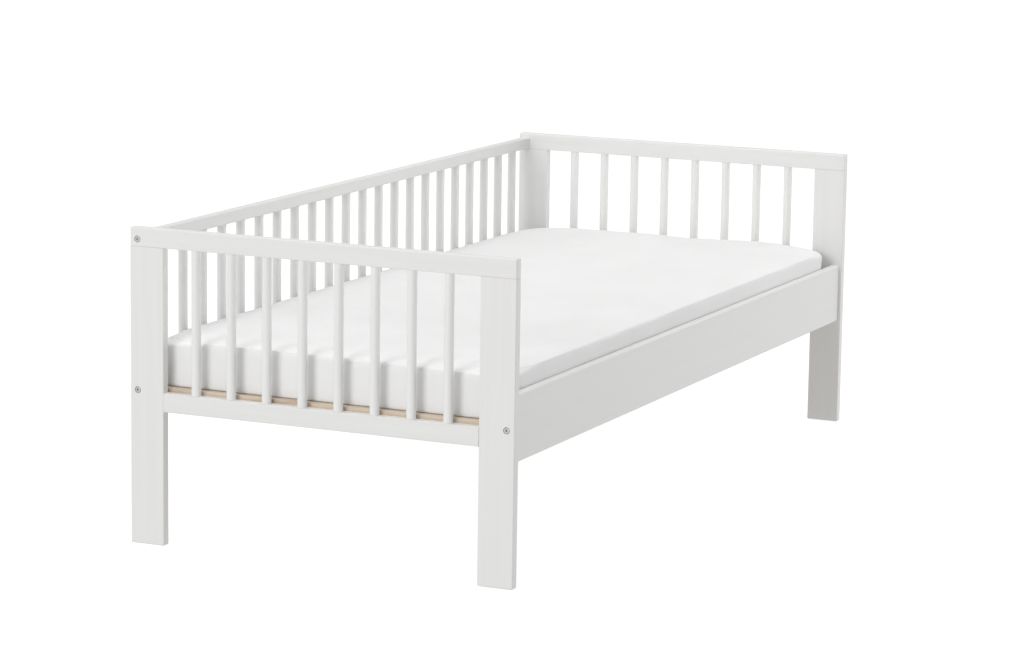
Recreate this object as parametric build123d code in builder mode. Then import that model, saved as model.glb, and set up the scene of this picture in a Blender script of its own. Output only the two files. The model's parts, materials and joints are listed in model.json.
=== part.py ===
from build123d import *
import os

os.makedirs("parts", exist_ok=True)

# A toddler bed of white painted wood. X runs along the bed with the foot end at -X, Y across it with
# the open side at -Y and the guard at +Y, Z up. The origin is on the floor under the bed's centre.

# Driving dimensions, in millimetres.
mattress_length = 1600
mattress_width = 700
mattress_height = 83
mattress_corner = 45
mattress_edge = 8
mattress_lift_gap = 0.3

end_clearance = 15
side_clearance = 1
board_thickness = 18
side_inset = 6

overall_height = 570
end_rail_height = 34
post_width = 67
end_bottom_rail_low = 243
post_arris = 2
rail_arris = 3
joint_arris = 0.8
leg_chamfer = 2

spindle_diameter = 17
tenon_diameter = 10
tenon_length = 12
end_spindle_count = 8
guard_spindle_count = 22

side_board_low = 217
side_board_height = 118
guard_lower_bolt_z = 279
guard_top_rail_low = 537
guard_top_rail_height = 24
guard_bottom_rail_height = 60

slat_count = 14
slat_width = 70
slat_thickness = 14
slat_top = 284
slat_end_gap = 3
slat_side_gap = 2
slat_arris = 1.5
ledge_length = 1600
ledge_depth = 25
ledge_height = 20
ledge_arris = 1.5
tape_width = 18
tape_thickness = 1
tape_offset = 230

bolt_diameter = 6
bolt_length = 55
bolt_head_diameter = 10
bolt_head_height = 6
bolt_socket_across_flats = 5
bolt_socket_depth = 3
bolt_hole_diameter = 7
counterbore_diameter = 12
counterbore_depth = 6.5
barrel_nut_diameter = 10
barrel_nut_length = 12
barrel_nut_setback = 36

dowel_diameter = 8
rail_dowel_length = 35
rail_dowel_post_depth = 10
frame_dowel_length = 40
side_board_dowel_offset = 40
guard_dowel_offset = 20
bottom_rail_dowel_offset = 9
top_dowel_offsets = (12, 30)

screw_diameter = 4
screw_head_diameter = 8
screw_recess_length = 4.4
screw_recess_width = 0.9
screw_recess_depth = 1.6
ledge_screw_length = 35
ledge_screw_count = 5
ledge_screw_span = 1400
slat_screw_length = 30
slat_screw_inset = 12

# Sizes that follow from the driving dimensions.
inner_length = mattress_length + 2 * end_clearance
overall_length = inner_length + 2 * board_thickness
inner_width = mattress_width + 2 * side_clearance
side_y = inner_width / 2 + board_thickness / 2
overall_width = inner_width + 2 * board_thickness + 2 * side_inset
end_x = inner_length / 2 + board_thickness / 2
post_y = overall_width / 2 - post_width / 2
post_inner_y = overall_width / 2 - post_width
post_top = overall_height - end_rail_height
end_bottom_rail_high = end_bottom_rail_low + end_rail_height
end_bottom_rail_z = end_bottom_rail_low + end_rail_height / 2
upper_bolt_z = guard_top_rail_low + guard_top_rail_height / 2
side_board_bolt_z = side_board_low + side_board_height / 2
rail_dowel_depth = rail_dowel_length - rail_dowel_post_depth
frame_dowel_depth = frame_dowel_length / 2
ledge_screw_depth = ledge_screw_length - ledge_depth
guard_bottom_rail_low = guard_lower_bolt_z - guard_bottom_rail_height / 2
guard_bottom_rail_high = guard_lower_bolt_z + guard_bottom_rail_height / 2
ledge_z = slat_top - slat_thickness - ledge_height / 2
ledge_y = inner_width / 2 - ledge_depth / 2
ledge_face_y = inner_width / 2 - ledge_depth
slat_pitch = (inner_length - 2 * slat_end_gap - slat_width) / (slat_count - 1)
slat_length = inner_width - 2 * slat_side_gap

end_spindle_gap = (2 * post_inner_y - end_spindle_count * spindle_diameter) / (end_spindle_count + 1)
end_spindle_pitch = end_spindle_gap + spindle_diameter
guard_spindle_pitch = inner_length / (guard_spindle_count + 1)
end_spindle_ys = [(i - (end_spindle_count - 1) / 2) * end_spindle_pitch for i in range(end_spindle_count)]
first_guard_spindle_x = -(guard_spindle_count - 1) / 2 * guard_spindle_pitch
guard_spindle_xs = [first_guard_spindle_x + i * guard_spindle_pitch for i in range(guard_spindle_count)]
slat_xs = [(i - (slat_count - 1) / 2) * slat_pitch for i in range(slat_count)]
ledge_screw_pitch = ledge_screw_span / (ledge_screw_count - 1)
ledge_screw_xs = [(i - (ledge_screw_count - 1) / 2) * ledge_screw_pitch for i in range(ledge_screw_count)]
slat_screw_y = slat_length / 2 - slat_screw_inset

ends = {"foot": -1, "head": 1}
sides = {"open_side": -1, "guard_side": 1}


def facing_x(x):
    """A plane across the bed at x, with Y and Z as its own axes."""
    return Plane.YZ.offset(x)


def facing_y(y):
    """A plane along the bed at y, with X and Z as its own axes."""
    return Plane.XZ.offset(-y)


def facing_z(z):
    """A level plane at z, with X and Y as its own axes."""
    return Plane.XY.offset(z)


def drill(plane, points, diameter, depth):
    """Round holes in the piece at hand; a negative depth drills against the plane's normal."""
    with BuildSketch(plane) as holes:
        with Locations(*points):
            Circle(diameter / 2)
    extrude(holes.sketch, amount=depth, mode=Mode.SUBTRACT)


def save(piece, label):
    piece.part.label = label
    export_step(piece.part, f"parts/{label}.step")


# End frames: two flat posts, a top rail lying on them and a bottom rail between them.

def build_post(end, side, label):
    """A flat post, standing on the floor, with its bolt hole and its dowel holes."""
    outer_x = end * overall_length / 2
    inner_x = end * inner_length / 2
    y = side * post_y
    bolt_z = guard_lower_bolt_z if side > 0 else side_board_bolt_z
    dowel_offset = guard_dowel_offset if side > 0 else side_board_dowel_offset
    bolt_point = (side * side_y, bolt_z)
    rail_dowel_points = [(side * side_y, bolt_z + k * dowel_offset) for k in (-1, 1)]
    bottom_dowel_points = [(end * end_x, end_bottom_rail_z + k * bottom_rail_dowel_offset) for k in (-1, 1)]
    top_dowel_points = [(end * end_x, side * (post_inner_y + offset)) for offset in top_dowel_offsets]
    with BuildPart() as post:
        with BuildSketch():
            with Locations((end * end_x, y)):
                Rectangle(board_thickness, post_width)
        extrude(amount=post_top)
        fillet(post.edges().filter_by(Axis.Z), post_arris)
        chamfer(post.faces().sort_by(Axis.Z)[0].edges(), leg_chamfer)
        drill(facing_x(outer_x), [bolt_point], counterbore_diameter, -end * counterbore_depth)
        drill(facing_x(outer_x), [bolt_point], bolt_hole_diameter, -end * board_thickness)
        drill(facing_x(inner_x), rail_dowel_points, dowel_diameter, end * rail_dowel_post_depth)
        drill(facing_y(side * post_inner_y), bottom_dowel_points, dowel_diameter, -side * frame_dowel_depth)
        drill(facing_z(post_top), top_dowel_points, dowel_diameter, -frame_dowel_depth)
    save(post, label)


def build_end_top_rail(end, label):
    """The full-width rail on top of the posts, with the guard's upper bolt through one end."""
    outer_x = end * overall_length / 2
    tenon_points = [(end * end_x, y) for y in end_spindle_ys]
    dowel_ys = [side * (post_inner_y + offset) for side in (-1, 1) for offset in top_dowel_offsets]
    dowel_points = [(end * end_x, y) for y in dowel_ys]
    with BuildPart() as rail:
        with BuildSketch(facing_z(post_top)):
            with Locations((end * end_x, 0)):
                Rectangle(board_thickness, overall_width)
        extrude(amount=end_rail_height)
        fillet(rail.edges().filter_by(Axis.Z), rail_arris)
        fillet(rail.faces().sort_by(Axis.Z)[-1].edges(), rail_arris - 0.5)
        chamfer(rail.faces().sort_by(Axis.Z)[0].edges(), joint_arris)
        drill(facing_z(post_top), tenon_points, tenon_diameter, tenon_length)
        drill(facing_z(post_top), dowel_points, dowel_diameter, frame_dowel_depth)
        drill(facing_x(outer_x), [(side_y, upper_bolt_z)], counterbore_diameter, -end * counterbore_depth)
        drill(facing_x(outer_x), [(side_y, upper_bolt_z)], bolt_hole_diameter, -end * board_thickness)
    save(rail, label)


def build_end_bottom_rail(end, label):
    """The rail between the posts at the height of the slats."""
    tenon_points = [(end * end_x, y) for y in end_spindle_ys]
    dowel_points = [(end * end_x, end_bottom_rail_z + k * bottom_rail_dowel_offset) for k in (-1, 1)]
    with BuildPart() as rail:
        with BuildSketch(facing_z(end_bottom_rail_low)):
            with Locations((end * end_x, 0)):
                Rectangle(board_thickness, 2 * post_inner_y)
        extrude(amount=end_rail_height)
        fillet(rail.edges().filter_by(Axis.Y), post_arris)
        drill(facing_z(end_bottom_rail_high), tenon_points, tenon_diameter, -tenon_length)
        for side in (-1, 1):
            drill(facing_y(side * post_inner_y), dowel_points, dowel_diameter, side * frame_dowel_depth)
    save(rail, label)


def build_spindles(points, low, high, label):
    """Round spindles between two rails, with a thinner tenon glued into each rail."""
    with BuildPart() as spindles:
        with BuildSketch(facing_z(low - tenon_length)):
            with Locations(*points):
                Circle(tenon_diameter / 2)
        extrude(amount=high - low + 2 * tenon_length)
        with BuildSketch(facing_z(low)):
            with Locations(*points):
                Circle(spindle_diameter / 2)
        extrude(amount=high - low)
    save(spindles, label)


for end_name, end in ends.items():
    for side_name, side in sides.items():
        build_post(end, side, f"{end_name}_post_{side_name}")
    build_end_top_rail(end, f"{end_name}_top_rail")
    build_end_bottom_rail(end, f"{end_name}_bottom_rail")
    for number, spindle_y in enumerate(end_spindle_ys, start=1):
        point = (end * end_x, spindle_y)
        build_spindles([point], end_bottom_rail_high, post_top, f"{end_name}_spindle_{number}")


# Guard and side board: both run between the end frames, bolted through them into barrel nuts.

def build_long_rail(y, low, height, bolt_z, dowel_offset, tenons_at, screws_at, arris, label):
    """A long rail or board between the end frames, bored at both ends for its bolt, nut and dowels.

    The nut goes in from the inner face, or from below where the rail's inner face is in view.
    """
    side = 1 if y > 0 else -1
    inner_face_y = side * inner_width / 2
    nut_bore_depth = (board_thickness + barrel_nut_length) / 2
    bolt_bore_depth = bolt_length - (board_thickness - counterbore_depth) + 1.5
    tenon_points = [(x, y) for x in guard_spindle_xs]
    with BuildPart() as rail:
        with BuildSketch(facing_x(-inner_length / 2)):
            with Locations((y, low + height / 2)):
                Rectangle(board_thickness, height)
        extrude(amount=inner_length)
        fillet(rail.edges().filter_by(Axis.X), arris)
        for end in (-1, 1):
            end_face = facing_x(end * inner_length / 2)
            nut_x = end * (inner_length / 2 - barrel_nut_setback)
            drill(end_face, [(y, bolt_z)], bolt_hole_diameter, -end * bolt_bore_depth)
            if tenons_at == "underside":
                drill(facing_z(low), [(nut_x, y)], barrel_nut_diameter, bolt_z - low + barrel_nut_length / 2)
            else:
                drill(facing_y(inner_face_y), [(nut_x, bolt_z)], barrel_nut_diameter, -side * nut_bore_depth)
            if dowel_offset:
                dowel_points = [(y, bolt_z + k * dowel_offset) for k in (-1, 1)]
                drill(end_face, dowel_points, dowel_diameter, -end * rail_dowel_depth)
        if tenons_at == "underside":
            drill(facing_z(low), tenon_points, tenon_diameter, tenon_length)
        if tenons_at == "top":
            drill(facing_z(low + height), tenon_points, tenon_diameter, -tenon_length)
        if screws_at:
            screw_points = [(x, screws_at) for x in ledge_screw_xs]
            drill(facing_y(inner_face_y), screw_points, screw_diameter, -side * ledge_screw_depth)
    save(rail, label)


build_long_rail(-side_y, side_board_low, side_board_height, side_board_bolt_z, side_board_dowel_offset, None,
                ledge_z, rail_arris, "side_board")
build_long_rail(side_y, guard_bottom_rail_low, guard_bottom_rail_height, guard_lower_bolt_z,
                guard_dowel_offset, "top", ledge_z, post_arris, "guard_bottom_rail")
build_long_rail(side_y, guard_top_rail_low, guard_top_rail_height, upper_bolt_z, 0, "underside", None,
                rail_arris, "guard_top_rail")
build_spindles([(x, side_y) for x in guard_spindle_xs], guard_bottom_rail_high, guard_top_rail_low,
               "guard_spindles")


# Slatted base: two ledges screwed to the sides, slats laid across them and held apart by two tapes.

def build_ledge(side, label):
    """A square batten along the inner face of a side, bored for its screws and the slats' screws."""
    with BuildPart() as ledge:
        with BuildSketch(facing_x(-ledge_length / 2)):
            with Locations((side * ledge_y, ledge_z)):
                Rectangle(ledge_depth, ledge_height)
        extrude(amount=ledge_length)
        fillet(ledge.edges().filter_by(Axis.X), ledge_arris)
        for x in ledge_screw_xs:
            with Locations(Plane(origin=(x, side * ledge_face_y, ledge_z), z_dir=(0, -side, 0))):
                CounterSinkHole(screw_diameter / 2, screw_head_diameter / 2, ledge_depth, 90)
        slat_screw_points = [(x, side * slat_screw_y) for x in (slat_xs[0], slat_xs[-1])]
        drill(facing_z(slat_top - slat_thickness), slat_screw_points, screw_diameter,
              slat_thickness - slat_screw_length)
    save(ledge, label)


def build_slat(x, screwed, label):
    """A flat pine slat across the bed; the first and the last are screwed to the ledges."""
    with BuildPart() as slat:
        with BuildSketch(facing_z(slat_top - slat_thickness)):
            with Locations((x, 0)):
                Rectangle(slat_width, slat_length)
        extrude(amount=slat_thickness)
        fillet(slat.edges().filter_by(Axis.Y), slat_arris)
        if screwed:
            with Locations((x, -slat_screw_y, slat_top), (x, slat_screw_y, slat_top)):
                CounterSinkHole(screw_diameter / 2, screw_head_diameter / 2, slat_thickness, 90)
    save(slat, label)


for side_name, side in sides.items():
    build_ledge(side, f"slat_ledge_{side_name}")
for number, slat_x in enumerate(slat_xs, start=1):
    build_slat(slat_x, number in (1, slat_count), f"slat_{number:02d}")

with BuildPart() as slat_tapes:
    with BuildSketch(facing_z(slat_top - slat_thickness - tape_thickness)):
        with Locations((0, -tape_offset), (0, tape_offset)):
            Rectangle(inner_length - 2 * slat_end_gap, tape_width)
    extrude(amount=tape_thickness)
save(slat_tapes, "slat_tapes")

# Mattress: a foam block in its cover, standing a hair above the slats that carry it.
with BuildPart() as mattress:
    with BuildSketch(facing_z(slat_top + mattress_lift_gap)):
        RectangleRounded(mattress_length, mattress_width, mattress_corner)
    extrude(amount=mattress_height)
    fillet(mattress.faces().sort_by(Axis.Z)[0].edges(), mattress_edge)
    fillet(mattress.faces().sort_by(Axis.Z)[-1].edges(), mattress_edge)
save(mattress, "mattress")


# Fixings.

lower_bolt_points = [(-side_y, side_board_bolt_z), (side_y, guard_lower_bolt_z)]
bolt_points = [*lower_bolt_points, (side_y, upper_bolt_z)]

with BuildPart() as bolts:
    for end in ends.values():
        head_seat_x = end * (overall_length / 2 - counterbore_depth)
        with BuildSketch(facing_x(head_seat_x)):
            with Locations(*bolt_points):
                Circle(bolt_head_diameter / 2)
        extrude(amount=end * bolt_head_height)
        with BuildSketch(facing_x(head_seat_x)):
            with Locations(*bolt_points):
                Circle(bolt_diameter / 2)
        extrude(amount=-end * bolt_length)
        with BuildSketch(facing_x(head_seat_x + end * bolt_head_height)):
            with Locations(*bolt_points):
                RegularPolygon(bolt_socket_across_flats / 2, 6, major_radius=False)
        extrude(amount=-end * bolt_socket_depth, mode=Mode.SUBTRACT)
save(bolts, "bolts")

with BuildPart() as barrel_nuts:
    for end in ends.values():
        nut_x = end * (inner_length / 2 - barrel_nut_setback)
        for y, bolt_z in lower_bolt_points:
            with BuildSketch(facing_y(y - barrel_nut_length / 2)):
                with Locations((nut_x, bolt_z)):
                    Circle(barrel_nut_diameter / 2)
            extrude(amount=-barrel_nut_length)
        with BuildSketch(facing_z(upper_bolt_z - barrel_nut_length / 2)):
            with Locations((nut_x, side_y)):
                Circle(barrel_nut_diameter / 2)
        extrude(amount=barrel_nut_length)
        drill(facing_x(end * inner_length / 2), bolt_points, bolt_diameter, -end * 2 * barrel_nut_setback)
save(barrel_nuts, "barrel_nuts")

rail_dowel_points = [(-side_y, side_board_bolt_z + k * side_board_dowel_offset) for k in (-1, 1)]
rail_dowel_points += [(side_y, guard_lower_bolt_z + k * guard_dowel_offset) for k in (-1, 1)]

with BuildPart() as rail_dowels:
    for end in ends.values():
        with BuildSketch(facing_x(end * (inner_length / 2 + rail_dowel_post_depth))):
            with Locations(*rail_dowel_points):
                Circle(dowel_diameter / 2)
        extrude(amount=-end * rail_dowel_length)
save(rail_dowels, "rail_dowels")

bottom_dowel_zs = [end_bottom_rail_z + k * bottom_rail_dowel_offset for k in (-1, 1)]

with BuildPart() as frame_dowels:
    for end in ends.values():
        for side in sides.values():
            top_dowel_ys = [side * (post_inner_y + offset) for offset in top_dowel_offsets]
            with BuildSketch(facing_z(post_top - frame_dowel_depth)):
                with Locations(*[(end * end_x, y) for y in top_dowel_ys]):
                    Circle(dowel_diameter / 2)
            extrude(amount=frame_dowel_length)
            with BuildSketch(facing_y(side * post_inner_y)):
                with Locations(*[(end * end_x, z) for z in bottom_dowel_zs]):
                    Circle(dowel_diameter / 2)
            extrude(amount=frame_dowel_depth, both=True)
save(frame_dowels, "frame_dowels")


def add_screws(planes, length):
    """Countersunk cross-head screws; each plane lies on a screw's head and points out of it."""
    sink = (screw_head_diameter - screw_diameter) / 2
    for plane in planes:
        with BuildSketch(plane) as shank:
            Circle(screw_diameter / 2)
        extrude(shank.sketch, amount=-length)
        with Locations(plane * Location((0, 0, -sink / 2))):
            Cone(screw_diameter / 2, screw_head_diameter / 2, sink)
        with BuildSketch(plane) as recess:
            Rectangle(screw_recess_length, screw_recess_width)
            Rectangle(screw_recess_width, screw_recess_length)
        extrude(recess.sketch, amount=-screw_recess_depth, mode=Mode.SUBTRACT)


with BuildPart() as ledge_screws:
    add_screws(
        [
            Plane(origin=(x, side * ledge_face_y, ledge_z), z_dir=(0, -side, 0))
            for side in sides.values()
            for x in ledge_screw_xs
        ],
        ledge_screw_length,
    )
save(ledge_screws, "ledge_screws")

with BuildPart() as slat_screws:
    add_screws(
        [
            Plane(origin=(x, side * slat_screw_y, slat_top), z_dir=(0, 0, 1))
            for side in sides.values()
            for x in (slat_xs[0], slat_xs[-1])
        ],
        slat_screw_length,
    )
save(slat_screws, "slat_screws")

print("overall", overall_length, overall_width, overall_height)
print("spindle pitches", round(end_spindle_pitch, 2), round(guard_spindle_pitch, 2))
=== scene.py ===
import json
import math

import bmesh
import bpy
from mathutils import Matrix, Vector, noise
from mathutils.bvhtree import BVHTree


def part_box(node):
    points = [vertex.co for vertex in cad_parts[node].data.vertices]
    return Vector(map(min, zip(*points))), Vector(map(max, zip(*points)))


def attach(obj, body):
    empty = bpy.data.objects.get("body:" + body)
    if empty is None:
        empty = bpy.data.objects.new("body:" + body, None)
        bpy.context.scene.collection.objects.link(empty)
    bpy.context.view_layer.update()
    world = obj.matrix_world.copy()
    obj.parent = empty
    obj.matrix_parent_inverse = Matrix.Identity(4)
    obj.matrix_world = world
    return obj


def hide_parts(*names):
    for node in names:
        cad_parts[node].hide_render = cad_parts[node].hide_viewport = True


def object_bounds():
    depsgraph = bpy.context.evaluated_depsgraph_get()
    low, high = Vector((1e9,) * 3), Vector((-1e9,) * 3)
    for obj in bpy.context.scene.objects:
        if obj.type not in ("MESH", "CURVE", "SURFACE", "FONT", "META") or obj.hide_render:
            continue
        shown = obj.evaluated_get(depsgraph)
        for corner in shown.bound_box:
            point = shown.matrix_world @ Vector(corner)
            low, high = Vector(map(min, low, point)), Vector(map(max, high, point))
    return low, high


# A toddler bed: white painted wood, a pine slatted base and a soft white mattress. The frame's axes are
# X along the bed with the foot end at -X, Y across it with the guard at +Y, Z up. Lengths are in metres,
# angles in degrees, lights in watts, and a colour is its linear red, green and blue.

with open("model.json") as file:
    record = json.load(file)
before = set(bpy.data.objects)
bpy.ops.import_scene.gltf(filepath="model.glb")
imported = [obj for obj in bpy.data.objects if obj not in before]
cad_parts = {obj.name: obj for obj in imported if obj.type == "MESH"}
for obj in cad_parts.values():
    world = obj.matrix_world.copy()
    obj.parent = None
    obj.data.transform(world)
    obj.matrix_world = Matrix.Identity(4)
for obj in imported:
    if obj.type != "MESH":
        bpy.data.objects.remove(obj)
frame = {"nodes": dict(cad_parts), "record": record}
cad_low, cad_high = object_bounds()

# Camera. Its azimuth turns from -Y towards +X. Its lens and sensor are in millimetres.
camera_azimuth = -65.43
camera_elevation = 10.04
camera_roll = 0.86
camera_distance = 6.796
camera_target = Vector((-0.005, 0.011, 0.279))
camera_lens = 122.9
camera_sensor = 36.0
camera_reach = 200.0

# Floor and dome. The dome and the ground fade into the horizon over a range of the direction's Z, and
# the open side's share of their strength over a range of its Y.
floor_glow = 0.90
floor_reach = 40.0
floor_squares = 8
horizon_strength = 0.97
dome_strength = 0.52
dome_fade = (0.02, 0.16)
ground_strength = 0.71
ground_fade = (-0.10, -0.02)
open_side_share = 0.84
open_side_fade = (-0.8, 0.1)

# Lights. The key and the top light stand off from the bed's centre and aim at it.
key_offset = Vector((-7.9, 1.3, 2.4))
key_size = 3.2
key_watts = 228.0
top_offset = Vector((0.1, 0.2, 4.2))
top_size = 2.4
top_watts = 84.0
side_place = Vector((2.6, -3.4, 0.9))
side_aim = Vector((0.5, -0.3, 0.3))
side_size = 1.8
side_watts = 44.0

# Colours.
paint_full = Vector((0.779, 0.778, 0.771))
paint_thin = Vector((0.753, 0.750, 0.741))
paint_cloud = (0.770, 0.764, 0.748)
# Painted highlight: the warm tint laid along the paint's edges.
edge_highlight_tint = (0.74, 0.70, 0.62)
slat_pale, slat_dark = (0.67, 0.57, 0.46), (0.53, 0.42, 0.33)
ledge_pale, ledge_dark = (0.66, 0.56, 0.45), (0.51, 0.40, 0.31)
beech_pale, beech_dark = (0.72, 0.52, 0.34), (0.58, 0.38, 0.22)
cover_shade, cover_light = (0.820, 0.820, 0.817), (0.856, 0.856, 0.853)
cover_gap = (0.74, 0.74, 0.73)
tape_gap, tape_thread = (0.62, 0.60, 0.55), (0.84, 0.82, 0.77)
zinc_dull, zinc_bright = (0.56, 0.57, 0.59), (0.74, 0.75, 0.76)
# The bolts' colours are a darker copy of the zinc: painted shade for the counterbores they sit in.
bolt_shaded_dull, bolt_shaded_bright = (0.48, 0.48, 0.49), (0.54, 0.54, 0.55)
floor_dull, floor_pale = (0.21, 0.21, 0.21), (0.23, 0.23, 0.23)
white = (1.0, 1.0, 1.0, 1.0)

# Paint. The edge tint is a painted highlight: a warm tint along the edges, where light catches them.
edge_highlight_radius = 0.0025
spindle_grain = 0.3
# The spindles' paint is made paler: painted light, standing in for more light falling on them.
spindle_light_lift = 1.05

# Bare wood. Its growth bands are this many to one full swing of their noise, and a piece's own place in
# the wood is drawn from this far round.
growth_bands = 7.0
piece_spread = 9.0
fleck_shade = 0.75

# Knit of the mattress's cover: how its two crossing sets of rows are turned, in radians.
knit_tilt = (0.3, 0.4)
knit_turns = (0.6, -0.6)

# Mattress: its block, and how far its cover may swell.
mattress_cell = 0.0125
mattress_corner = 0.045
mattress_lower_edge = 0.005
mattress_upper_edge = 0.008
edge_ring_angles = (0, 22.5, 45, 67.5, 90)
seam_angle = 45
side_waist = 0.0018
swell_cap = 0.003
swell_frames = 20
swell_pressure = 4.0
smallest_swell = 1e-9

# Mattress: its unevenness. A wave's scale is how many of its cells fit in a metre.
long_wave, long_wave_scale = 0.0016, 3.1
short_wave, short_wave_scale, short_wave_shift = 0.0009, 9.0, Vector((7, 3, 1))
head_lift = 0.0075
head_lift_run = 0.45
head_lift_arch_power = 8
head_lift_wave, head_lift_wave_scales = 0.35, (3.0, 9.0)
corner_droop = 0.009
corner_droop_run = 0.13
corner_droop_power = 1.5
mattress_crown = 0.0035

# Mattress: the puckers along its seams, and the seams.
pucker_depth = 0.0022
pucker_scale = 34.0
pucker_rise_scale = 5
pucker_start = 0.002
pucker_run = 0.012
seam_tolerance = 1e-5
seam_radius = 0.0008
seam_step = 0.005
seam_sink = 0.6
seam_search_start = 0.03
seam_search_reach = 0.08

# Slat tapes. A staple's drop is its share of the wire's radius.
tape_sag = 0.0022
tape_step = 0.006
tape_edge_tolerance = 1e-4
staple_width = 0.010
staple_leg = 0.004
staple_wire = 0.0006
staple_drop = 0.4


# Helpers for materials.

def start_material(name):
    """A material with a bare Principled shader; returns it with its tree and its shader."""
    material = bpy.data.materials.new(name)
    material.use_nodes = True
    tree = material.node_tree
    tree.nodes.clear()
    output = tree.nodes.new("ShaderNodeOutputMaterial")
    shader = tree.nodes.new("ShaderNodeBsdfPrincipled")
    tree.links.new(shader.outputs["BSDF"], output.inputs["Surface"])
    return material, tree, shader


def add(tree, kind, inputs=None, **settings):
    """Adds a node; each of its inputs is a plain value or another node's output."""
    made = tree.nodes.new("ShaderNode" + kind)
    for key, value in settings.items():
        setattr(made, key, value)
    for key, value in (inputs or {}).items():
        if isinstance(value, bpy.types.NodeSocket):
            tree.links.new(value, made.inputs[key])
        else:
            made.inputs[key].default_value = value
    return made


def math_node(tree, operation, first, second=0.0):
    return add(tree, "Math", {0: first, 1: second}, operation=operation).outputs[0]


def stretched_noise(tree, scale, detail=4.0, roughness=0.6, offset=None):
    """Noise over the bed's own frame, with a scale of its own along X, Y and Z."""
    position = add(tree, "TexCoord").outputs["Object"]
    if offset is not None:
        position = add(tree, "VectorMath", {0: position, 1: offset}, operation="ADD").outputs[0]
    mapped = add(tree, "Mapping", {"Vector": position, "Scale": scale})
    settings = {"Vector": mapped.outputs[0], "Scale": 1.0, "Detail": detail, "Roughness": roughness}
    return add(tree, "TexNoise", settings).outputs["Fac"]


def ramp(tree, factor, stops):
    """A colour ramp; each stop is (place, colour)."""
    made = add(tree, "ValToRGB", {"Fac": factor})
    elements = made.color_ramp.elements
    while len(elements) < len(stops):
        elements.new(0.5)
    for element, (place, colour) in zip(elements, stops):
        element.position = place
        element.color = (*colour, 1.0)
    return made.outputs["Color"]


def mix_colour(tree, factor, first, second):
    """Goes from the first colour to the second as the factor goes from 0 to 1."""
    made = add(tree, "Mix", data_type="RGBA")
    for key, value in ((0, factor), (6, first), (7, second)):
        if isinstance(value, bpy.types.NodeSocket):
            tree.links.new(value, made.inputs[key])
        else:
            made.inputs[key].default_value = value if key == 0 else (*value, 1.0)
    return made.outputs[2]


def span(tree, value, source, target):
    """Maps a value from one range to another, and clamps it."""
    made = add(tree, "MapRange", {"Value": value, 1: source[0], 2: source[1], 3: target[0], 4: target[1]})
    return made.outputs[0]


def bump(tree, shader, layers):
    """Chains bumps into the shader's normal; each layer is (height, distance, strength)."""
    normal = None
    for height, distance, strength in layers:
        made = add(tree, "Bump", {"Height": height, "Distance": distance, "Strength": strength})
        if normal is not None:
            tree.links.new(normal, made.inputs["Normal"])
        normal = made.outputs[0]
    tree.links.new(normal, shader.inputs["Normal"])


def along(axis, along_scale, across_scale):
    """A scale that is low along the grain's axis and high across it."""
    return tuple(along_scale if k == axis else across_scale for k in range(3))


def even(scale):
    """The same scale along all three axes."""
    return (scale, scale, scale)


# Materials.

def painted_wood(name, axis, grain=1.0, light_lift=1.0):
    """Satin white paint over planed wood: the grain shows as faint streaks, and the edges carry a warm
    painted highlight.

    The grain is how much of it shows, from 0 to 1, and the lift is how much paler than usual the paint is, as
    painted light.
    """
    material, tree, shader = start_material(name)
    streaks = stretched_noise(tree, along(axis, 3.0, 95.0), detail=5.0)
    pores = stretched_noise(tree, along(axis, 25.0, 800.0), detail=3.0)
    orange_peel = stretched_noise(tree, even(420.0), detail=2.0)
    clouds = stretched_noise(tree, even(5.0), detail=2.0)
    thin, full = paint_thin * light_lift, paint_full * light_lift
    paint = ramp(tree, streaks, [(0.30, full.lerp(thin, grain)), (0.62, full)])
    paint = mix_colour(tree, span(tree, clouds, (0.35, 0.65), (0.0, 0.35)), paint, paint_cloud)
    # Painted highlight: a warm tint along the edges, where light catches them, broken up by the pores.
    rounded = add(tree, "Bevel", {"Radius": edge_highlight_radius}, samples=4).outputs[0]
    flat = add(tree, "NewGeometry").outputs["Normal"]
    facing = add(tree, "VectorMath", {0: rounded, 1: flat}, operation="DOT_PRODUCT").outputs["Value"]
    edge = span(tree, facing, (0.985, 0.90), (0.0, 0.5))
    edge_highlight = math_node(tree, "MULTIPLY", edge, span(tree, pores, (0.3, 0.7), (0.3, 1.0)))
    paint = mix_colour(tree, edge_highlight, paint, edge_highlight_tint)
    tree.links.new(paint, shader.inputs["Base Color"])
    tree.links.new(span(tree, streaks, (0.3, 0.7), (0.36, 0.50)), shader.inputs["Roughness"])
    shader.inputs["Specular IOR Level"].default_value = 0.45
    relief = [(streaks, 0.00025, 0.20 * grain), (pores, 0.00006, 0.20), (orange_peel, 0.00005, 0.25)]
    bump(tree, shader, relief)
    return material


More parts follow.
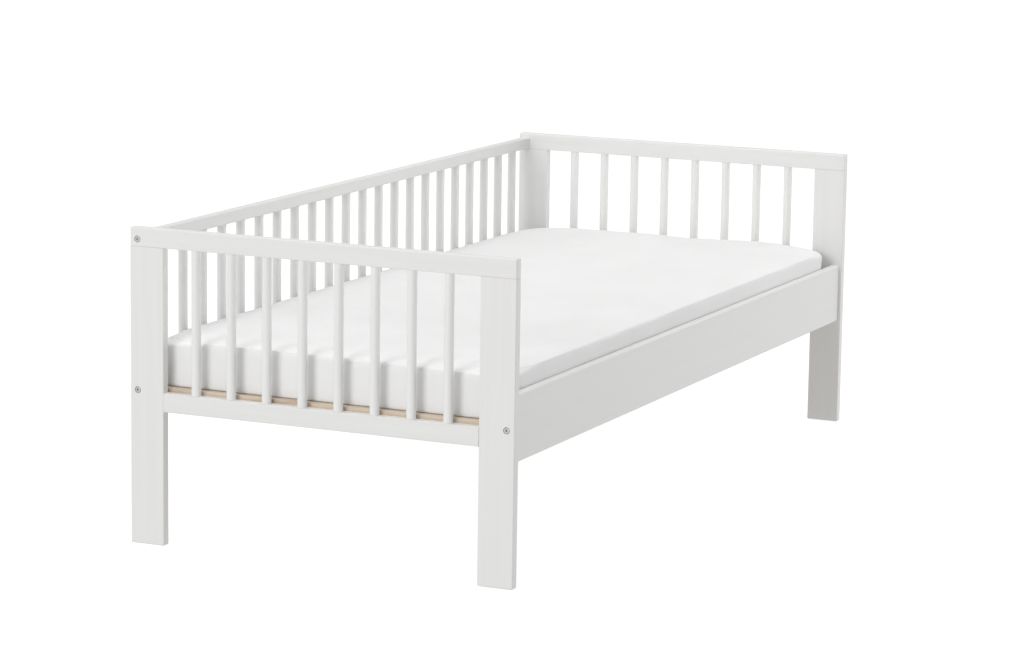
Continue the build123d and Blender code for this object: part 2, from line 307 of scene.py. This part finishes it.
def bare_wood(name, axis, pale, dark, ring_scale, piece_pitch=None):
    """Planed wood with growth bands along one axis, fine fibres and dark flecks.

    Where pieces repeat along X at a pitch, each of them is cut from a different place in the wood.
    """
    material, tree, shader = start_material(name)
    offset = None
    if piece_pitch:
        place = add(tree, "SeparateXYZ", {0: add(tree, "TexCoord").outputs["Object"]}).outputs["X"]
        number = math_node(tree, "FLOOR", math_node(tree, "DIVIDE", place, piece_pitch))
        lot = add(tree, "TexWhiteNoise", {"W": number}, noise_dimensions="1D").outputs["Color"]
        offset = add(tree, "VectorMath", {0: lot, 3: piece_spread}, operation="SCALE").outputs[0]
    rings = stretched_noise(tree, along(axis, 1.1, ring_scale), 2.0, 0.45, offset)
    bands = math_node(tree, "FRACT", math_node(tree, "MULTIPLY", rings, growth_bands))
    fibres = stretched_noise(tree, along(axis, 14.0, 900.0), 3.0, 0.6, offset)
    flecks = stretched_noise(tree, along(axis, 60.0, 420.0), 2.0, 0.5, offset)
    wood = ramp(tree, bands, [(0.0, pale), (0.55, pale), (0.85, dark), (1.0, pale)])
    wood = mix_colour(tree, span(tree, fibres, (0.35, 0.7), (0.0, 0.35)), wood, dark)
    fleck = tuple(fleck_shade * part for part in dark)
    wood = mix_colour(tree, span(tree, flecks, (0.62, 0.75), (0.0, 0.3)), wood, fleck)
    tree.links.new(wood, shader.inputs["Base Color"])
    tree.links.new(span(tree, fibres, (0.3, 0.7), (0.50, 0.68)), shader.inputs["Roughness"])
    shader.inputs["Specular IOR Level"].default_value = 0.35
    bump(tree, shader, [(bands, 0.00008, 0.3), (fibres, 0.00010, 0.4)])
    return material


def mattress_cloth():
    """A fine white knitted cover with a soft sheen and slow unevenness in its tone."""
    material, tree, shader = start_material("mattress_cloth")
    position = add(tree, "TexCoord").outputs["Object"]
    knit = []
    for rotation in knit_turns:
        turned = add(tree, "Mapping", {"Vector": position, "Rotation": (*knit_tilt, rotation)}).outputs[0]
        wave = add(tree, "TexWave", {"Vector": turned, "Scale": 210.0, "Distortion": 0.6, "Detail": 1.0})
        knit.append(wave.outputs["Fac"])
    loops = math_node(tree, "MULTIPLY", *knit)
    fuzz = stretched_noise(tree, even(900.0), detail=2.0)
    clouds = stretched_noise(tree, even(7.0), detail=3.0)
    cloth = ramp(tree, clouds, [(0.3, cover_shade), (0.7, cover_light)])
    cloth = mix_colour(tree, span(tree, loops, (0.0, 1.0), (0.10, 0.0)), cloth, cover_gap)
    tree.links.new(cloth, shader.inputs["Base Color"])
    tree.links.new(span(tree, fuzz, (0.3, 0.7), (0.80, 0.95)), shader.inputs["Roughness"])
    shader.inputs["Sheen Weight"].default_value = 0.25
    shader.inputs["Sheen Roughness"].default_value = 0.5
    shader.inputs["Specular IOR Level"].default_value = 0.25
    bump(tree, shader, [(loops, 0.0003, 0.45), (fuzz, 0.0002, 0.3)])
    return material


def woven_tape():
    """Off-white cotton tape with a twill weave."""
    material, tree, shader = start_material("woven_tape")
    position = add(tree, "TexCoord").outputs["Object"]
    weave = []
    for rotation in (math.radians(45), math.radians(-45)):
        turned = add(tree, "Mapping", {"Vector": position, "Rotation": (0.0, 0.0, rotation)}).outputs[0]
        weave.append(add(tree, "TexWave", {"Vector": turned, "Scale": 260.0}).outputs["Fac"])
    threads = math_node(tree, "MAXIMUM", *weave)
    fuzz = stretched_noise(tree, even(700.0), detail=2.0)
    cloth = ramp(tree, threads, [(0.2, tape_gap), (0.9, tape_thread)])
    tree.links.new(cloth, shader.inputs["Base Color"])
    tree.links.new(span(tree, fuzz, (0.3, 0.7), (0.75, 0.92)), shader.inputs["Roughness"])
    bump(tree, shader, [(threads, 0.0003, 0.6), (fuzz, 0.0001, 0.4)])
    return material


def plated_steel(name, dull, bright, smooth, rough):
    """Plated steel: faintly mottled, with fine turning marks. Its roughness goes from smooth to rough."""
    material, tree, shader = start_material(name)
    mottle = stretched_noise(tree, even(260.0), detail=3.0)
    marks = stretched_noise(tree, (90.0, 2500.0, 2500.0), detail=2.0)
    metal = ramp(tree, mottle, [(0.3, dull), (0.7, bright)])
    tree.links.new(metal, shader.inputs["Base Color"])
    tree.links.new(span(tree, mottle, (0.3, 0.7), (smooth, rough)), shader.inputs["Roughness"])
    shader.inputs["Metallic"].default_value = 1.0
    bump(tree, shader, [(marks, 0.00005, 0.3)])
    return material


def studio_floor():
    """A plain white sweep that gives back some light of its own, as an evenly lit studio floor does."""
    material, tree, shader = start_material("studio_floor")
    grain = stretched_noise(tree, even(60.0), detail=2.0)
    tree.links.new(ramp(tree, grain, [(0.0, floor_dull), (1.0, floor_pale)]), shader.inputs["Base Color"])
    shader.inputs["Roughness"].default_value = 0.9
    shader.inputs["Specular IOR Level"].default_value = 0.1
    shader.inputs["Emission Color"].default_value = white
    shader.inputs["Emission Strength"].default_value = floor_glow
    return material


def dress(obj, material):
    obj.data.materials.clear()
    obj.data.materials.append(material)


# Helpers for meshes.

def new_object(name, mesh):
    made = bpy.data.objects.new(name, mesh)
    bpy.context.scene.collection.objects.link(made)
    return made


def rounded_rectangle(half_x, half_y, radius, step):
    """Points round a level rectangle with rounded corners, each with its outward normal."""
    points = []
    centres = ((1, 1), (-1, 1), (-1, -1), (1, -1))
    arc_steps = max(4, round(radius * math.pi / 2 / step))
    for quarter, (sx, sy) in enumerate(centres):
        centre = Vector((sx * (half_x - radius), sy * (half_y - radius), 0.0))
        for k in range(arc_steps + 1):
            angle = (quarter + k / arc_steps) * math.pi / 2
            normal = Vector((math.cos(angle), math.sin(angle), 0.0))
            points.append((centre + normal * radius, normal))
        following = centres[(quarter + 1) % 4]
        start = points[-1][0]
        end_centre = Vector((following[0] * (half_x - radius), following[1] * (half_y - radius), 0.0))
        end = end_centre + normal * radius
        count = max(1, round((end - start).length / step))
        points += [(start.lerp(end, k / count), normal) for k in range(1, count)]
    return points


def tube_mesh(name, lines, radius, closed):
    """Round tubes along lines of points, as one mesh."""
    curve = bpy.data.curves.new(name, "CURVE")
    curve.dimensions = "3D"
    curve.bevel_depth = radius
    curve.bevel_resolution = 2
    curve.use_fill_caps = not closed
    for line in lines:
        spline = curve.splines.new("POLY")
        spline.points.add(len(line) - 1)
        for point, place in zip(spline.points, line):
            point.co = (*place, 1.0)
        spline.use_cyclic_u = closed
    holder = new_object(name + "_line", curve)
    bpy.context.view_layer.update()
    mesh = bpy.data.meshes.new_from_object(holder.evaluated_get(bpy.context.evaluated_depsgraph_get()))
    bpy.data.objects.remove(holder)
    mesh.name = name
    for polygon in mesh.polygons:
        polygon.use_smooth = True
    return mesh


# Mattress.

def plan_point(u, v, half, corner, inset):
    """Moves a point of a plain level rectangle onto one with rounded corners, drawn in by the inset."""
    beyond = [max(0.0, abs(t) - reach + corner) / corner for t, reach in ((u, half.x), (v, half.y))]
    place = []
    for t, own, other in ((u, *beyond), (v, *reversed(beyond))):
        reach = abs(t) - own * corner + (corner - inset) * own * math.sqrt(1 - other ** 2 / 2)
        place.append(math.copysign(reach, t))
    return place


def side_profile(low_z, high_z):
    """How far in and how high each level ring lies, from the bottom's edge up to the top's."""
    arc = [math.radians(angle) for angle in edge_ring_angles]
    under, over = mattress_lower_edge, mattress_upper_edge
    lower = [(under * (1 - math.sin(a)), low_z + under * (1 - math.cos(a))) for a in arc]
    upper = [(over * (1 - math.cos(a)), high_z - over * (1 - math.sin(a))) for a in arc]
    first, last = lower[-1][1], upper[0][1]
    rows = round((last - first) / mattress_cell)
    band = [(side_waist * math.sin(math.pi * k / rows), first + (last - first) * k / rows)
            for k in range(1, rows)]
    return lower + band + upper


def soft_block(name, low, high):
    """A closed block of four-sided faces, with rounded corners and edges and slightly drawn-in sides."""
    centre, half = (low + high) / 2, (high - low) / 2
    across_x, across_y = (round(2 * reach / mattress_cell) for reach in (half.x, half.y))
    profile = side_profile(low.z, high.z)
    rim = [(i, 0) for i in range(across_x)] + [(across_x, j) for j in range(across_y)]
    rim += [(across_x - i, across_y - j) for i, j in rim]
    mesh = bmesh.new()

    def vertex(i, j, level):
        inset, z = profile[level]
        u, v = half.x * (2 * i / across_x - 1), half.y * (2 * j / across_y - 1)
        x, y = plan_point(u, v, half, mattress_corner, inset)
        return mesh.verts.new((centre.x + x, centre.y + y, z))

    top = len(profile) - 1
    grid = {(i, j, level): vertex(i, j, level)
            for level in (0, top) for i in range(across_x + 1) for j in range(across_y + 1)}
    grid |= {(i, j, level): vertex(i, j, level) for level in range(1, top) for i, j in rim}
    for i in range(across_x):
        for j in range(across_y):
            cell_corners = ((i, j), (i + 1, j), (i + 1, j + 1), (i, j + 1))
            mesh.faces.new([grid[(*c, top)] for c in cell_corners])
            mesh.faces.new([grid[(*c, 0)] for c in reversed(cell_corners)])
    for level in range(top):
        for first, second in zip(rim, rim[1:] + rim[:1]):
            cell_corners = ((*first, level), (*second, level), (*second, level + 1), (*first, level + 1))
            mesh.faces.new([grid[c] for c in cell_corners])
    data = bpy.data.meshes.new(name)
    mesh.to_mesh(data)
    mesh.free()
    return new_object(name, data)


def bake(obj):
    """Applies every modifier on the object."""
    bpy.context.view_layer.update()
    mesh = bpy.data.meshes.new_from_object(obj.evaluated_get(bpy.context.evaluated_depsgraph_get()))
    obj.modifiers.clear()
    old = obj.data
    obj.data = mesh
    bpy.data.meshes.remove(old)


def inflate(obj, pinned, cap):
    """Blows the cover up against its pinned seams as cloth, and lets no point move further than the cap."""
    rest = [v.co.copy() for v in obj.data.vertices]
    group = obj.vertex_groups.new(name="seams")
    group.add([i for i, place in enumerate(rest) if pinned(place)], 1.0, "REPLACE")
    made = obj.modifiers.new("cloth", "CLOTH")
    settings = made.settings
    settings.quality = 4
    settings.mass = 0.3
    settings.tension_stiffness = 15.0
    settings.compression_stiffness = 15.0
    settings.shear_stiffness = 8.0
    settings.bending_stiffness = 0.8
    settings.use_pressure = True
    settings.uniform_pressure_force = swell_pressure
    settings.effector_weights.gravity = 0.0
    settings.vertex_group_mass = group.name
    made.collision_settings.use_collision = False
    made.point_cache.frame_start = 1
    made.point_cache.frame_end = swell_frames
    scene = bpy.context.scene
    for number in range(1, swell_frames + 1):
        scene.frame_set(number)
    shaped = obj.evaluated_get(bpy.context.evaluated_depsgraph_get()).to_mesh()
    moved = [v.co.copy() for v in shaped.vertices]
    obj.modifiers.clear()
    scene.frame_set(1)
    for vertex, before, after in zip(obj.data.vertices, rest, moved):
        step = after - before
        if step.length > smallest_swell:
            step *= cap * math.tanh(step.length / cap) / step.length
        vertex.co = before + step


def subdivide_smooth(obj):
    made = obj.modifiers.new("subdivision", "SUBSURF")
    made.levels = 1
    bake(obj)
    for polygon in obj.data.polygons:
        polygon.use_smooth = True


def seam_heights(low, high):
    """The heights of the two seams, halfway round the block's rounded edges."""
    part = 1 - math.sin(math.radians(seam_angle))
    return low.z + mattress_lower_edge * part, high.z - mattress_upper_edge * part


def clamp(value):
    return min(max(value, 0.0), 1.0)


def raise_top(place, low, high):
    """Moves a point of the upper half up or down, and less the lower it lies.

    The top has slow waves, it rises towards the head end, and its corners droop.
    """
    middle = (low.z + high.z) / 2
    half_y = (high.y - low.y) / 2
    slow = long_wave * noise.noise(place * long_wave_scale)
    quick = short_wave * noise.noise(place * short_wave_scale + short_wave_shift)
    place.z += slow + quick
    rise = (place.z - middle) / (high.z - middle)
    start = clamp((place.x - high.x) / head_lift_run + 1.0)
    arch = 1.0 - abs(place.y / half_y) ** head_lift_arch_power
    scale_x, scale_y = head_lift_wave_scales
    wave = 1.0 + head_lift_wave * noise.noise(Vector((place.x * scale_x, place.y * scale_y, 2.0)))
    place.z += head_lift * rise * arch * wave * start ** 2 * (3.0 - 2.0 * start)
    near_x, near_y = (clamp(1.0 - (reach - abs(t)) / corner_droop_run)
                      for t, reach in ((place.x, high.x), (place.y, high.y)))
    place.z -= corner_droop * rise * near_x ** corner_droop_power * near_y ** corner_droop_power


def pucker(place, low, high):
    """Draws a point of the side in by its pucker, which is deepest just off a seam and fades away from it."""
    lower_seam, upper_seam = seam_heights(low, high)
    depth = min(upper_seam - place.z, place.z - lower_seam)
    if depth > 0.0:
        run = Vector((place.x, place.y, 0.0))
        outward = Vector((place.x / (high.x - low.x), place.y / (high.y - low.y), 0.0)).normalized()
        fading = math.exp(-depth / pucker_run) * (1 - math.exp(-depth / pucker_start))
        fold = abs(noise.noise(run * pucker_scale + Vector((0, 0, place.z * pucker_rise_scale))))
        place -= outward * fading * pucker_depth * fold


def settle(obj, low, high):
    """Gives the block its unevenness and its puckers, and keeps it in its space."""
    for vertex in obj.data.vertices:
        place = vertex.co
        if place.z > (low.z + high.z) / 2:
            raise_top(place, low, high)
        pucker(place, low, high)
        place.x = min(max(place.x, low.x), high.x)
        place.y = min(max(place.y, low.y), high.y)
        place.z = min(max(place.z, low.z), high.z + mattress_crown + head_lift)


def seam_line(surface, low, high, z):
    """Points along the side of the block at one height, found by looking in at it from outside."""
    centre = (low + high) / 2
    half = (high - low) / 2
    line = []
    for point, normal in rounded_rectangle(half.x, half.y, mattress_corner, seam_step):
        start = Vector((centre.x + point.x, centre.y + point.y, z)) + normal * seam_search_start
        hit, _, _, _ = surface.ray_cast(start, -normal, seam_search_reach)
        if hit is not None:
            line.append(hit - normal * seam_radius * seam_sink)
    return line


def make_mattress():
    low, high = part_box("mattress")
    seams = seam_heights(low, high)
    mattress = soft_block("mattress_cover", low, high)
    inflate(mattress, lambda place: min(abs(place.z - z) for z in seams) < seam_tolerance, swell_cap)
    subdivide_smooth(mattress)
    settle(mattress, low, high)
    cloth = mattress_cloth()
    dress(mattress, cloth)
    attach(mattress, "mattress")
    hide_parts("mattress")
    surface = BVHTree.FromPolygons(
        [v.co.copy() for v in mattress.data.vertices],
        [tuple(p.vertices) for p in mattress.data.polygons],
    )
    for name, z in zip(("mattress_lower_seam", "mattress_upper_seam"), seams):
        seam = new_object(name, tube_mesh(name, [seam_line(surface, low, high, z)], seam_radius, True))
        dress(seam, cloth)
        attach(seam, "mattress")


# Slat tapes and their staples.

def slat_boxes():
    names = sorted(n for n in frame["nodes"] if n.startswith("slat_") and n[5:].isdigit())
    return [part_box(name) for name in names]


def tape_mesh(name, x_low, x_high, y, width, top, thickness, slats):
    """A flat tape that lies against each slat and hangs a little between them."""
    mesh = bmesh.new()
    count = round((x_high - x_low) / tape_step)
    half = width / 2
    outline = ((-half, 0.0), (-half + thickness / 2, thickness / 2), (half - thickness / 2, thickness / 2),
               (half, 0.0), (half - thickness / 2, -thickness / 2), (-half + thickness / 2, -thickness / 2))
    rings = []
    for k in range(count + 1):
        x = x_low + (x_high - x_low) * k / count
        sag = 0.0
        for (_, before), (after, _) in zip(slats, slats[1:]):
            if before.x < x < after.x:
                sag = tape_sag * math.sin(math.pi * (x - before.x) / (after.x - before.x)) ** 2
        z = top - thickness / 2 - sag
        rings.append([mesh.verts.new((x, y + across, z + up)) for across, up in outline])
    sides = len(outline)
    for first, second in zip(rings, rings[1:]):
        for k in range(sides):
            mesh.faces.new((first[k], second[k], second[(k + 1) % sides], first[(k + 1) % sides]))
    mesh.faces.new(rings[0])
    mesh.faces.new(reversed(rings[-1]))
    bmesh.ops.recalc_face_normals(mesh, faces=mesh.faces)
    data = bpy.data.meshes.new(name)
    mesh.to_mesh(data)
    mesh.free()
    return data


def make_tapes():
    low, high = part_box("slat_tapes")
    thickness = high.z - low.z
    tapes = frame["nodes"]["slat_tapes"].data
    width = min(high.y - v.co.y for v in tapes.vertices if v.co.y < high.y - tape_edge_tolerance)
    slats = slat_boxes()
    cloth = woven_tape()
    steel = plated_steel("staple_steel", zinc_dull, zinc_bright, 0.28, 0.46)
    staples = []
    for side, y in (("open_side", low.y + width / 2), ("guard_side", high.y - width / 2)):
        name = "slat_tape_" + side
        tape = new_object(name, tape_mesh(name, low.x, high.x, y, width, high.z, thickness, slats))
        dress(tape, cloth)
        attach(tape, "bed_frame")
        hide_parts("slat_tapes")
        for slat_low, slat_high in slats:
            x = (slat_low.x + slat_high.x) / 2
            z = low.z - staple_wire * staple_drop
            corners = ((-1, staple_leg), (-1, 0.0), (1, 0.0), (1, staple_leg))
            staples.append([Vector((x, y + s * staple_width / 2, z + rise)) for s, rise in corners])
    wire = new_object("tape_staples", tube_mesh("tape_staples", staples, staple_wire, False))
    dress(wire, steel)
    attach(wire, "bed_frame")


# Materials on the frame's own parts.

def dress_frame():
    painted = {axis: painted_wood("painted_wood_" + "xyz"[axis], axis) for axis in range(3)}
    # The spindles get a paler copy of the white paint, painted light that stands in for more light on them.
    turned = painted_wood("painted_turned_wood_lit_paler", 2, spindle_grain, spindle_light_lift)
    slats = slat_boxes()
    pitch = slats[1][0].x - slats[0][0].x
    slat_pine = bare_wood("slat_pine", 1, slat_pale, slat_dark, 9.0, pitch)
    ledge_pine = bare_wood("ledge_pine", 0, ledge_pale, ledge_dark, 26.0)
    beech = bare_wood("dowel_beech", 2, beech_pale, beech_dark, 60.0)
    steel = plated_steel("zinc_steel", zinc_dull, zinc_bright, 0.28, 0.46)
    # The bolt heads get a darker copy of the zinc, painted shade that stands in for the shade in their
    # counterbores.
    shaded_bolt_steel = plated_steel("shaded_bolt_steel", bolt_shaded_dull, bolt_shaded_bright, 0.52, 0.62)
    slots = {part["node"]: part["material_slot"] for part in frame["record"]["subparts"]}
    for name, obj in frame["nodes"].items():
        low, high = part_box(name)
        size = high - low
        if slots[name] == "white_painted_wood":
            axis = 2 if "post" in name else max(range(3), key=lambda k: size[k])
            dress(obj, turned if "spindle" in name else painted[axis])
        elif slots[name] == "pine":
            dress(obj, ledge_pine if "ledge" in name else slat_pine)
        elif slots[name] == "beech":
            dress(obj, beech)
        elif slots[name] == "zinc_steel":
            dress(obj, shaded_bolt_steel if name == "bolts" else steel)


# Studio.

def make_floor():
    mesh = bmesh.new()
    bmesh.ops.create_grid(mesh, x_segments=floor_squares, y_segments=floor_squares, size=floor_reach)
    data = bpy.data.meshes.new("floor")
    mesh.to_mesh(data)
    mesh.free()
    floor = new_object("floor", data)
    floor.location.z = cad_low.z
    dress(floor, studio_floor())
    floor.visible_diffuse = False


def area_light(name, place, aim, size, watts):
    light = bpy.data.lights.new(name, "AREA")
    light.shape = "SQUARE"
    light.size = size
    light.energy = watts
    made = new_object(name, light)
    made.location = place
    made.rotation_euler = (aim - place).to_track_quat("-Z", "Y").to_euler()


def make_sky():
    """A studio dome: white at the horizon, where it meets the floor, and dimmer above and below it."""
    world = bpy.data.worlds.new("studio")
    world.use_nodes = True
    tree = world.node_tree
    direction = add(tree, "SeparateXYZ", {0: add(tree, "TexCoord").outputs["Generated"]})
    height = direction.outputs["Z"]
    share = span(tree, direction.outputs["Y"], open_side_fade, (open_side_share, 1.0))
    dome = math_node(tree, "MULTIPLY", share, dome_strength)
    ground = math_node(tree, "MULTIPLY", share, ground_strength)
    above = span(tree, height, dome_fade, (horizon_strength, dome))
    below = span(tree, height, ground_fade, (ground, horizon_strength))
    strength = math_node(tree, "MINIMUM", above, below)
    tree.links.new(strength, tree.nodes["Background"].inputs["Strength"])
    tree.nodes["Background"].inputs["Color"].default_value = white
    bpy.context.scene.world = world


def make_lights():
    centre = (cad_low + cad_high) / 2
    area_light("key_light", centre + key_offset, centre, key_size, key_watts)
    area_light("top_light", centre + top_offset, centre, top_size, top_watts)
    area_light("head_side_light", side_place, side_aim, side_size, side_watts)
    make_sky()


def make_camera():
    azimuth, elevation = math.radians(camera_azimuth), math.radians(camera_elevation)
    back = Vector((math.sin(azimuth) * math.cos(elevation), -math.cos(azimuth) * math.cos(elevation),
                   math.sin(elevation)))
    right = (-back).cross(Vector((0.0, 0.0, 1.0))).normalized()
    up = back.cross(right)
    roll = Matrix.Rotation(math.radians(camera_roll), 3, back)
    data = bpy.data.cameras.new("camera")
    data.lens = camera_lens
    data.sensor_width = camera_sensor
    data.clip_end = camera_reach
    camera = new_object("camera", data)
    turn = roll @ Matrix((right, up, back)).transposed()
    camera.matrix_world = Matrix.Translation(camera_target + back * camera_distance) @ turn.to_4x4()
    bpy.context.scene.camera = camera


dress_frame()
make_mattress()
make_tapes()
make_floor()
make_lights()
make_camera()
bpy.context.scene.view_settings.view_transform = "Standard"
